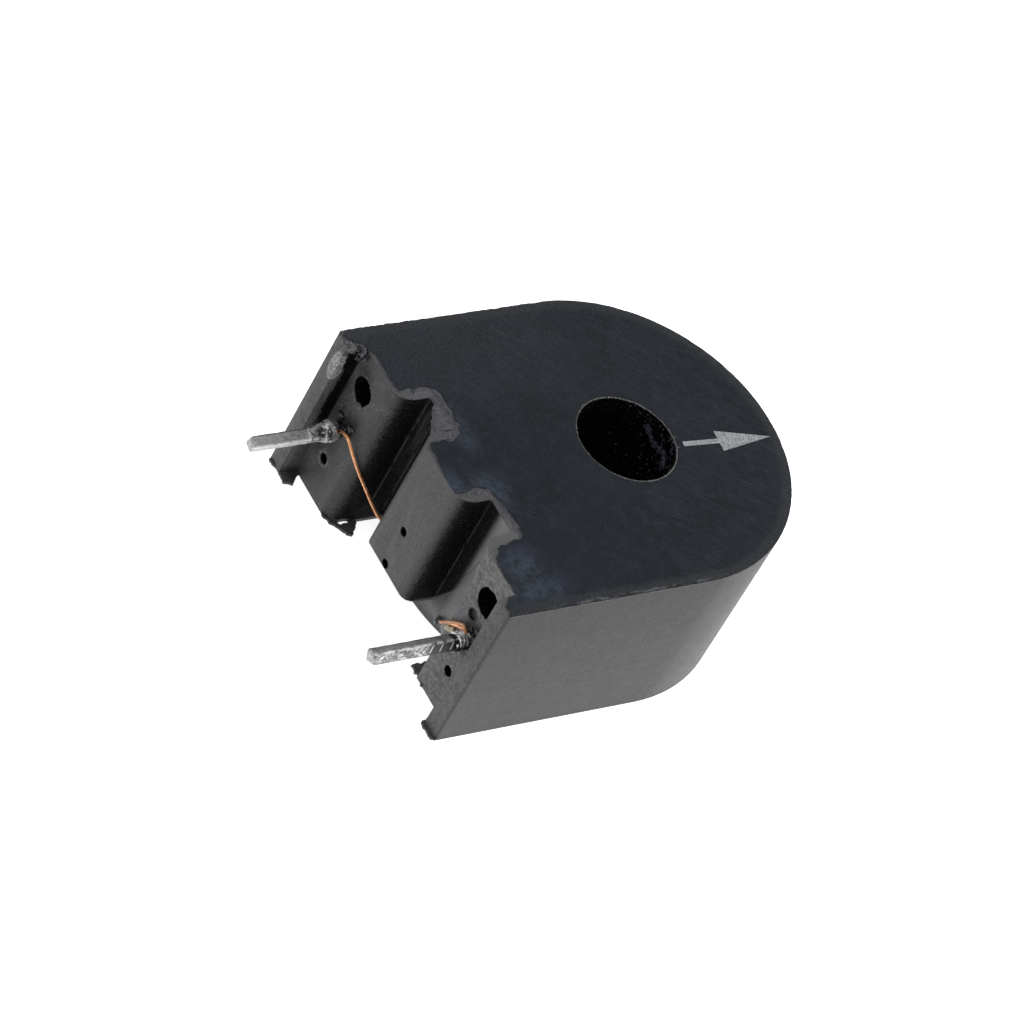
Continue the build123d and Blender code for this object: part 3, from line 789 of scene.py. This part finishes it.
# The film's edge on the printed face, as (x, s), from the left foot to the right foot
film_edge = [
    (-8.45, 0.4), (-8.32, 0.24), (-8.05, 0.24), (-7.78, 0.49), (-7.42, 1.0), (-7.0, 1.18), (-6.28, 1.27),
    (-5.6, 1.2), (-4.98, 1.24), (-4.66, 1.36), (-4.72, 1.8), (-4.62, 2.2), (-4.74, 2.6), (-4.68, 2.95),
    (-4.42, 3.22), (-3.95, 3.42), (-3.4, 3.36), (-2.83, 3.45), (-2.3, 3.36), (-1.77, 3.17), (-1.52, 2.85),
    (-1.45, 2.48), (-1.56, 1.9), (-1.5, 1.3), (-0.9, 1.24), (0.1, 1.12), (0.9, 1.04), (1.42, 1.05),
    (1.45, 1.55), (1.32, 2.2), (1.36, 2.74), (1.7, 3.0), (2.39, 3.18), (2.9, 3.2), (3.38, 3.33), (3.9, 3.28),
    (4.33, 3.2), (4.46, 2.9), (4.5, 2.5), (4.6, 2.0), (4.76, 1.6), (5.1, 1.3), (5.55, 1.06), (6.35, 1.05),
    (6.95, 1.12), (7.34, 1.12), (7.45, 0.6), (7.9, 0.32), (8.5, 0.14),
]

# The film's chips on the near side, as height s, half length and depth
film_chips = ((4.5, 0.5, 0.07), (8.5, 0.6, 0.06), (6.3, 0.2, 0.04), (1.9, 0.15, 0.05))


def film_outline():
    """The edge of the compound: ragged towards the terminals, chipped along the sides and the round."""
    ends = roughen(from_seat(film_edge), 0.06, 0.12, 3.0, closed=False)
    near_x = half_width - 0.02
    near = roughen([(near_x, seat + 0.16), (near_x, arch_centre_y)], 0.06, 0.05, 8.0, closed=False)
    for point in near:
        for s, reach, depth in film_chips:
            torn = 0.5 + 0.8 * noise.noise(Vector((0, 9 * point.y, 1)))
            point.x -= depth * torn * max(0, 1 - ((point.y - s - seat) / reach) ** 2)
        point.x = min(point.x, half_width)
    arch = []
    steps = 240
    for cosine, sine in directions(2 * steps)[1:steps]:
        radius = half_width - 0.01 - 0.03 * abs(rough(9 * cosine, 9 * sine, 2))
        arch.append(Vector((radius * cosine, arch_centre_y + radius * sine)))
    far_x = 0.03 - half_width
    far = roughen([(far_x, arch_centre_y), (far_x, seat + 0.5)], 0.08, 0.04, 5.0, closed=False)
    for point in far:
        point.x = max(point.x, -half_width)
    return ends + near + arch + far


def make_compound(finish):
    """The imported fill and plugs, with a ragged film over the rim of the case instead of the even one."""
    work = bmesh.new()
    work.from_mesh(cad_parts["potting"].data)
    bmesh.ops.remove_doubles(work, verts=work.verts, dist=1e-7)
    above = [face for face in work.faces if face.calc_center_median().z > (case_top - 0.001) * MM]
    bmesh.ops.delete(work, geom=above, context="FACES")
    hole = []
    for cosine, sine in directions(150):
        radius = bore_radius + 0.09 + 0.035 * rough(4 * cosine, 4 * sine, 4.0, roughness=0.5, lacunarity=2.2)
        hole.append((radius * cosine, radius * sine))
    slab(work, [film_outline(), hole], case_top - 0.005, top)
    finish_piece(work, "compound", finish, "potting", "potting", angle=40)


# Moulding flash in the plane of the back face, as (x, s)
flash_edges = {
    "flash_left_foot": [
        (-8.3, 0.12), (-8.32, -0.08), (-8.01, -0.12), (-7.7, 0.08), (-7.5, -0.02), (-7.28, -0.05),
        (-7.01, -0.03), (-6.84, -0.07), (-6.74, 0.2), (-6.63, 0.33), (-6.78, 0.42), (-6.91, 0.58),
        (-7.12, 0.9), (-7.3, 1.1), (-7.6, 0.9)],
    "flash_left_pocket": [
        (-4.95, 1.3), (-4.84, 1.16), (-4.79, 0.96), (-4.61, 0.94), (-4.4, 1.06), (-4.19, 1.07), (-3.92, 1.36),
        (-3.7, 1.5), (-3.52, 1.6), (-3.36, 1.62), (-3.27, 1.88), (-3.45, 2.0), (-3.6, 2.22), (-3.98, 2.5),
        (-4.2, 2.4), (-4.1, 2.24), (-4.0, 1.95), (-4.0, 1.6), (-4.1, 1.45), (-4.3, 1.6), (-4.6, 1.6)],
    "flash_right_pocket": [
        (4.3, 1.95), (4.36, 1.6), (4.28, 1.4), (4.34, 1.03), (4.6, 1.07), (4.66, 0.97), (4.78, 0.95),
        (4.87, 1.1), (5.08, 1.1), (5.33, 1.08), (5.44, 0.9), (5.55, 0.95), (5.61, 1.12), (5.91, 1.06),
        (6.27, 1.1), (6.52, 1.03), (6.76, 1.03), (6.76, 1.2), (5.4, 1.3), (4.8, 1.9)],
    "flash_right_foot": [
        (7.48, 0.5), (7.28, 0.3), (7.44, 0.16), (7.36, -0.07), (7.64, -0.19), (7.89, -0.13), (8.19, -0.18),
        (8.44, -0.14), (8.48, 0.1), (8.3, 0.3)],
}


def make_flash(finish):
    for number, (name, edge) in enumerate(flash_edges.items()):
        work = bmesh.new()
        slab(work, [roughen(from_seat(edge), 0.05, 0.06, 11.0 + number)], 0.0, 0.13)
        finish_piece(work, name, finish, "case", angle=30)


def over_trough(x, y):
    """True where the printed face is cut open by a trough."""
    return y <= trough_floor and block_half < abs(x) < trough_outer


def make_smears(finish):
    """Thin uneven leftovers of compound on the bare plastic round the troughs, above their shoulders."""
    step = 0.045
    columns, rows = range(-50, 50), range(17, 61)
    for name, side in sides.items():
        work = bmesh.new()
        grid = {}
        for column in range(columns.start, columns.stop + 1):
            for row in range(rows.start, rows.stop + 1):
                x = side * trough_middle + column * step
                y = floor_y + 0.25 + row * step
                gap = math.hypot(max(abs(abs(x) - trough_middle) - 1.0, 0), max(y - trough_floor, 0))
                patch = rough(1.7 * x, 1.7 * y, 5, roughness=1.0, lacunarity=2.2)
                rim = math.exp(-((gap - 0.5) / 0.22) ** 2)
                height = case_top - 0.02 + 0.05 * rim + 0.04 * patch - 0.09 * max(0, gap - 0.7)
                grid[column, row] = x, y, min(height, top + 0.012)
        verts = {}
        for column in columns:
            for row in rows:
                corners = [(column, row), (column + 1, row), (column + 1, row + 1), (column, row + 1)]
                if all(grid[corner][2] < case_top - 0.004 for corner in corners):
                    continue
                if any(over_trough(*grid[corner][:2]) for corner in corners):
                    continue
                if grid[column, row][0] > trough_outer and grid[column, row][1] < trough_floor:
                    continue
                for corner in corners:
                    if corner not in verts:
                        verts[corner] = work.verts.new(Vector(grid[corner]) * MM)
                work.faces.new([verts[corner] for corner in corners])
        shell = bmesh.ops.extrude_face_region(work, geom=work.faces[:])
        for item in shell["geom"]:
            if isinstance(item, bmesh.types.BMVert):
                item.co.z = (case_top - 0.04) * MM
        finish_piece(work, f"smear_{name}", finish, "potting")


def smoothstep(value):
    value = min(max(value, 0), 1)
    return value * value * (3 - 2 * value)


def sheet(work, x_range, z_range, step, height, under):
    """A closed swelling seen from the board's side. Both functions give a height s for a place (x, z)."""
    columns = round((x_range[1] - x_range[0]) / step)
    rows = round((z_range[1] - z_range[0]) / step)
    grids = []
    for surface in (height, under):
        grid = []
        for column in range(columns + 1):
            x = x_range[0] + column * (x_range[1] - x_range[0]) / columns
            levels = [z_range[0] + row * (z_range[1] - z_range[0]) / rows for row in range(rows + 1)]
            grid.append([work.verts.new(Vector((x, seat + surface(x, z), z)) * MM) for z in levels])
        grids.append(grid)
        for first, second in zip(grid, grid[1:]):
            for row in range(rows):
                work.faces.new((first[row], second[row], second[row + 1], first[row + 1]))
    front, back = grids
    border = [(column, 0) for column in range(columns)]
    border += [(columns, row) for row in range(rows)]
    border += [(column, rows) for column in range(columns, 0, -1)]
    border += [(0, row) for row in range(rows, 0, -1)]
    for (a, b), (c, d) in zip(border, border[1:] + border[:1]):
        work.faces.new((front[a][b], front[c][d], back[c][d], back[a][b]))


def cup_level(x):
    """Height s of the cup's outer wall."""
    return -seat - math.sqrt(cup_radius ** 2 - x * x)


def make_web(finish):
    """The web that closes the right trough towards the back, a smooth ramp between pocket and cup."""
    def ramp(x, z):
        slope = 2.74 - 0.2 * max(0, x - 2.3) ** 2
        level = cup_level(x) + (slope - cup_level(x)) * smoothstep(z / 1.7)
        beyond = max(0, z - 1.9 - 1.8 * (x - block_half))
        highest = 2.8 if z > 1.8 else 9
        return min(level + 0.1 * beyond, highest) + 0.012 * noise.noise(Vector((2 * x, 2 * z, 4)))

    work = bmesh.new()
    sheet(work, (0.3, 4.17), (0.12, 8.4), 0.08, ramp, lambda x, z: max(cup_level(x), 2.85) + 0.1)
    finish_piece(work, "web_right_trough", finish, "case")


def make_bead(finish):
    """A bead that covers the right lead between its hole and the pocket."""
    work = bmesh.new()
    path = [(2.9, 2.75, 1.3), (3.02, 2.62, 1.5), (3.3, 2.3, 2.0), (3.6, 1.9, 2.4), (3.9, 1.55, 2.8),
            (4.2, 1.1, 3.1), (4.42, 0.93, 3.36)]
    tube(work, from_seat(path), [0.14, 0.13, 0.12, 0.12, 0.11, 0.1, 0.09], 16)
    finish_piece(work, "lead_bead_right", finish, "case")


def make_curtain(finish):
    """Compound that ran over the rim and down into the left trough's upper corner."""
    def far(x, z):
        wander = 0.25 * noise.noise(Vector((3 * x, 3 * z, 1)))
        return 2.8 - 0.35 * smoothstep((z - case_top + 1.5 * (x + 3.7) + wander) / 0.5)

    work = bmesh.new()
    sheet(work, (-3.9, -2.08), (6.9, top - 0.03), 0.05, far, lambda x, z: 2.95)
    finish_piece(work, "curtain_left", finish, "potting")


def square_radius(angle, twist, half):
    """Distance from the middle of a turned square to its edge."""
    turned = angle - math.radians(twist)
    return half / max(abs(math.cos(turned)), abs(math.sin(turned)))


def turned_lump(work, name, profile, seed, uneven):
    """A closed lump round a pin. Its profile gives heights, each with a width and a roundness up to 1."""
    segments = 40
    rings = []
    for height, width, roundness in profile:
        ring = []
        for number in range(segments):
            angle = 2 * math.pi * number / segments
            cosine, sine = math.cos(angle), math.sin(angle)
            square = square_radius(angle, pin_twists[name], pin_width / 2 + 0.012)
            radius = square + roundness * (width - square)
            radius += uneven * rough(2.2 * cosine, 2.2 * sine, 3 * height + seed, roughness=0.7) * roundness
            lift = 0.12 * roundness * max(0, 1 - abs(height - 0.35)) if name == "left" else 0
            x, z = sides[name] * pin_x + radius * cosine, pin_levels[name] + lift + radius * sine
            ring.append(work.verts.new(Vector((x, seat + height, z)) * MM))
        rings.append(ring)
    skin(work, rings)


def make_joints(solder, flux, tin):
    """Left: a lump of solder over the turns. Right: the turns stay visible, dark with flux."""
    work = bmesh.new()
    stations = [
        (-0.8, 0.34, 0), (-0.76, 0.37, 0.6), (-0.6, 0.37, 0.6), (-0.35, 0.38, 0.6), (-0.15, 0.41, 0.8),
        (0.05, 0.48, 1), (0.25, 0.54, 1), (0.45, 0.55, 1), (0.6, 0.52, 1), (0.75, 0.46, 1), (0.88, 0.4, 1),
        (1.02, 0.46, 1)]
    profile = [[low + number / 3 * (high - low) for low, high in zip(first, second)]
               for first, second in zip(stations, stations[1:]) for number in range(3)]
    turned_lump(work, "left", profile, 3.0, 0.045)
    finish_piece(work, "solder_left", solder, "solder", "solder_joint_left")

    work = bmesh.new()
    wound_width = 0.36
    profile = [(0.05 + 0.97 * number / 30, wound_width, min(1, 0.2 + number / 15)) for number in range(31)]
    turned_lump(work, "right", profile, 6.0, 0.03)
    finish_piece(work, "flux_right", flux, "solder", "solder_joint_right")
    work = bmesh.new()
    points = []
    turns, steps = 4, 36
    for number in range(turns * steps + 1):
        angle = 2 * math.pi * number / steps + 0.6
        radius = 0.5 * (square_radius(angle, pin_twists["right"], pin_width / 2) + wound_width) + 0.02
        height = 0.97 - 0.18 * number / steps + 0.015 * math.sin(3.3 * angle)
        z = pin_levels["right"] + radius * math.sin(angle)
        points.append((pin_x + radius * math.cos(angle), height, z))
    tube(work, from_seat(points), wire_radius)
    finish_piece(work, "turns_right", tin, "solder")


def make_lumps(name, finish, slot, *groups):
    """A piece of lumps. A group has its first seed, the lumps' shape, and each one's x, s, z and size."""
    work = bmesh.new()
    for seed, shape, lumps in groups:
        for number, (*place, size) in enumerate(lumps):
            crumb(work, *from_seat([place]), [size * part for part in shape], seed + number)
    finish_piece(work, name, finish, slot)


def make_flux(flux, resin, copper):
    """Lumps of flux where each lead meets its pin, and the end of the right lead's loop."""
    flat = (1, 0.6, 1)
    make_lumps("flux_lumps", flux, "solder", (20, flat, (
        (-6.0, 0.92, 4.65, 0.2), (-5.8, 0.93, 4.95, 0.17), (-5.72, 0.93, 4.5, 0.16), (-6.35, 0.95, 4.1, 0.2),
        (-5.95, 0.95, 4.3, 0.14), (-6.7, 0.95, 4.95, 0.2), (-5.62, 0.97, 5.1, 0.12), (4.5, 0.98, 3.5, 0.14),
    )), (40, flat, (
        (6.75, 0.93, 4.95, 0.2), (6.95, 0.9, 5.3, 0.15), (6.7, 0.95, 5.4, 0.14), (7.1, 0.95, 4.6, 0.16),
        (6.3, 0.95, 5.15, 0.14), (7.2, 0.8, 5.0, 0.15), (6.85, 0.95, 4.2, 0.13),
    )))
    make_lumps("resin_right", resin, "solder", (60, (1.2, 0.7, 1), (
        (5.2, 0.98, 3.95, 0.2), (5.0, 1.02, 3.75, 0.16), (5.4, 0.96, 4.05, 0.18), (4.85, 1.1, 3.7, 0.13))))
    # The lead's last pass, below its loop
    work = bmesh.new()
    tail = [(4.9, 0.98, 3.93), (5.05, 0.92, 4.15), (5.27, 0.88, 4.36), (5.63, 0.86, 4.66), (5.96, 0.86, 4.87),
            (6.2, 0.9, 4.95)]
    tube(work, from_seat(tail), 1.15 * wire_radius)
    finish_piece(work, "wire_right_tail", copper, "copper")


def make_crumbs(finish):
    """Torn specks of plastic round the holes of the pockets."""
    pick = random.Random(12)
    work = bmesh.new()
    rims = [(-pin_x, small_hole_z, 0.36, 9), (pin_x, small_hole_z, 0.36, 12)]
    rims += [(x, z, reach, count) for (x, z, _), reach, count in zip(torn_holes, (0.82, 0.92), (10, 18))]
    for x, z, reach, count in rims:
        for number in range(count):
            angle = pick.uniform(-2.0, 2.0)
            size = pick.uniform(0.025, 0.06)
            place = (x + reach * math.cos(angle), floor_y - 0.005, z + reach * math.sin(angle))
            crumb(work, place, (size, 0.5 * size, size * pick.uniform(1, 1.6)), number)
    for number in range(14):
        size = pick.uniform(0.02, 0.045)
        place = (pick.uniform(6.0, 6.8), floor_y, pick.uniform(2.7, 3.4))
        crumb(work, place, (size, 0.5 * size, size), number)
    finish_piece(work, "crumbs_pockets", finish, "case")


def make_pin(name, finish):
    """A pin with softened edges and a drawn, slightly uneven surface."""
    made = bevelled_copy(f"terminal_pin_{name}", f"pin_{name}", finish, "pin")
    work = bmesh.new()
    work.from_mesh(made.data)
    long_edges = [edge for edge in work.edges if edge.calc_length() > 2 * MM]
    bmesh.ops.subdivide_edges(work, edges=long_edges, cuts=90, use_grid_fill=True)
    for vertex in work.verts:
        place = vertex.co / MM
        outward = Vector((place.x - sides[name] * pin_x, 0, place.z - pin_levels[name])).normalized()
        push = rough(6 * place.x, 1.6 * place.y, 6 * place.z, roughness=0.8)
        vertex.co += outward * 0.012 * push * MM
    work.to_mesh(made.data)
    work.free()
    smooth(made, 30)


def make_burr(pale, grey_fold, dark):
    """Torn plastic at the top of the left foot's inner wall: pale lumps, and darker folds beside them."""
    pick = random.Random(5)
    work = bmesh.new()
    for number in range(30):
        size = pick.uniform(0.05, 0.13)
        place = (pick.uniform(-7.8, -7.3), seat + pick.uniform(0.05, 0.4), min(case_top, top - size))
        crumb(work, place, (size, size, size * 0.8), number)
    finish_piece(work, "burr_left_foot", pale, "case")
    work = bmesh.new()
    for number in range(34):
        share = pick.random()
        size = pick.uniform(0.03, 0.09)
        s = 0.5 + 0.35 * math.sin(math.pi * share) + pick.uniform(-0.08, 0.08)
        place = (-7.7 + 0.75 * share, seat + s, min(case_top, top - size))
        crumb(work, place, (size * 1.4, size, size * 0.8), 40 + number)
    finish_piece(work, "burr_fold", grey_fold, "case")
    work = bmesh.new()
    for number in range(26):
        size = pick.uniform(0.04, 0.12)
        x, s, sunk = pick.uniform(-7.5, -6.9), pick.uniform(0.55, 0.98), pick.uniform(0.05, 0.7)
        crumb(work, (x, seat + s, case_top - sunk), (size, 0.7 * size, size * 1.3), 80 + number)
    finish_piece(work, "inner_wall_crumbs", dark, "case")


def make_bore_details(residue, torn):
    """Dried runs of compound down the bore's wall and burrs on its rim."""
    work = bmesh.new()
    # The run's places are an angle in degrees and a height
    run = [(118, 8.3), (110, 8.0), (104, 7.75), (98, 7.7), (90, 7.75), (82, 7.95), (76, 7.8), (70, 7.6),
           (66, 7.4)]
    points, widths = [], []
    for (first, low), (second, high) in zip(run, run[1:]):
        for number in range(6):
            share = number / 6
            degrees = first + share * (second - first)
            angle = math.radians(degrees)
            height = low + share * (high - low) + 0.1 * noise.noise(Vector((9 * angle, 0, 1)))
            points.append((*circle(2.47, degrees), height))
            widths.append(0.15 + 0.12 * noise.noise(Vector((12 * angle, 3, 1))))
    tube(work, points, widths, 8)
    pick = random.Random(9)
    for number in range(170):
        place = circle(bore_radius, pick.triangular(20, 150, 75))
        size = pick.uniform(0.02, 0.07)
        crumb(work, (*place, 8.85 - 3.5 * pick.random() ** 1.5), (size, size, size), number)
    finish_piece(work, "bore_residue", residue, "potting")
    # A thin torn line of bare plastic runs round the rim, and hairs of it stand up
    work = bmesh.new()
    line_radius = bore_radius + 0.03
    line_z = case_top + 0.01
    ring, widths = [], []
    for degrees in range(0, 362, 2):
        wander = rough(*circle(5, degrees), 7)
        ring.append((*circle(line_radius, degrees), line_z + 0.02 * wander))
        widths.append(0.028 + 0.03 * abs(wander) + 0.012 * math.cos(math.radians(degrees - 60)))
    tube(work, ring, widths, 6)
    for number in range(40):
        place = circle(line_radius, pick.uniform(0, 360))
        size = pick.uniform(0.02, 0.045)
        crumb(work, (*place, line_z), (size * 1.5, size * 1.5, size), 90 + number)
    for x, y in ((0.32, 2.52), (0.36, 2.62), (0.9, 2.4), (0.95, 2.46)):
        crumb(work, (x, y, case_top + 0.02), (0.07, 0.09, 0.05), x)
    finish_piece(work, "bore_rim_burrs", torn, "case")


# The picture

def set_camera():
    """The photograph's own view, from a fit to the object's outline."""
    position = Vector((125.00, -162.48, 188.59)) * MM
    right = Vector((0.45801, 0.80404, 0.37914))
    up = Vector((-0.76174, 0.13513, 0.63363))
    away = right.cross(up)
    data = bpy.data.cameras.new("camera")
    data.sensor_width = 36
    data.lens = 208.0
    data.clip_start = 0.01
    data.clip_end = 10
    camera = bpy.data.objects.new("camera", data)
    rotation = Matrix((right, up, away)).transposed().to_4x4()
    camera.matrix_world = Matrix.Translation(position) @ rotation
    bpy.context.scene.collection.objects.link(camera)
    bpy.context.scene.camera = camera


def set_stage():
    """A pale floor under the back face, an even sky and one soft light."""
    work = bmesh.new()
    bmesh.ops.create_grid(work, x_segments=8, y_segments=8, size=2.0)
    ground = bpy.data.objects.new("floor", worked_mesh(work, "floor"))
    ground.data.materials.append(floor_finish())
    bpy.context.scene.collection.objects.link(ground)
    world = bpy.data.worlds.new("studio")
    world.use_nodes = True
    sky = world.node_tree.nodes["Background"]
    sky.inputs["Color"].default_value = (1, 1, 1, 1)
    sky.inputs["Strength"].default_value = 0.8
    bpy.context.scene.world = world
    data = bpy.data.lights.new("key", "AREA")
    data.size = 160 * MM
    data.energy = 1.0
    light = bpy.data.objects.new("key", data)
    position, aim = Vector((60, 330, 120)), Vector((0, 0, 4))
    light.location = position * MM
    light.rotation_euler = (aim - position).to_track_quat("-Z", "Y").to_euler()
    bpy.context.scene.collection.objects.link(light)
    bpy.context.scene.view_settings.view_transform = "Standard"


set_camera()
set_stage()

case_material = case_finish()
torn_material = torn_finish()
smear_material = smear_finish()
flux_material = flux_finish()
make_case(case_material)
make_compound(film_finish())
make_flash(case_material)
make_smears(smear_material)
make_web(case_material)
make_curtain(smear_material)
make_bead(case_material)
make_joints(solder_finish(), flux_material, turns_finish())
# The right lead's tail takes a lit copy of the copper, painted lighter
make_flux(flux_material, resin_finish(), copper_finish("copper_lit_copy", 1.15))
make_burr(torn_material, smear_material, flux_material)
make_crumbs(torn_material)
make_bore_details(residue_finish(), torn_material)
# The right lead's copper is a shaded copy, painted at half strength
for name, strength in (("left", 1.0), ("right", 0.5)):
    make_pin(name, pin_finish(name))
    smooth_copy(f"lead_wire_{name}", f"wire_{name}", copper_finish(f"copper_{name}", strength), "copper")
carried = {
    "toroid_core": hidden_finish("core_tape", 0.25, 0.4),
    "core_coat": hidden_finish("coat", (0.5, 0.47, 0.38), (0.66, 0.62, 0.5)),
    "secondary_winding": copper_finish(),
    "direction_arrow": ink_finish(),
}
for name, material in carried.items():
    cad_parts[name].data.materials.clear()
    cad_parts[name].data.materials.append(material)
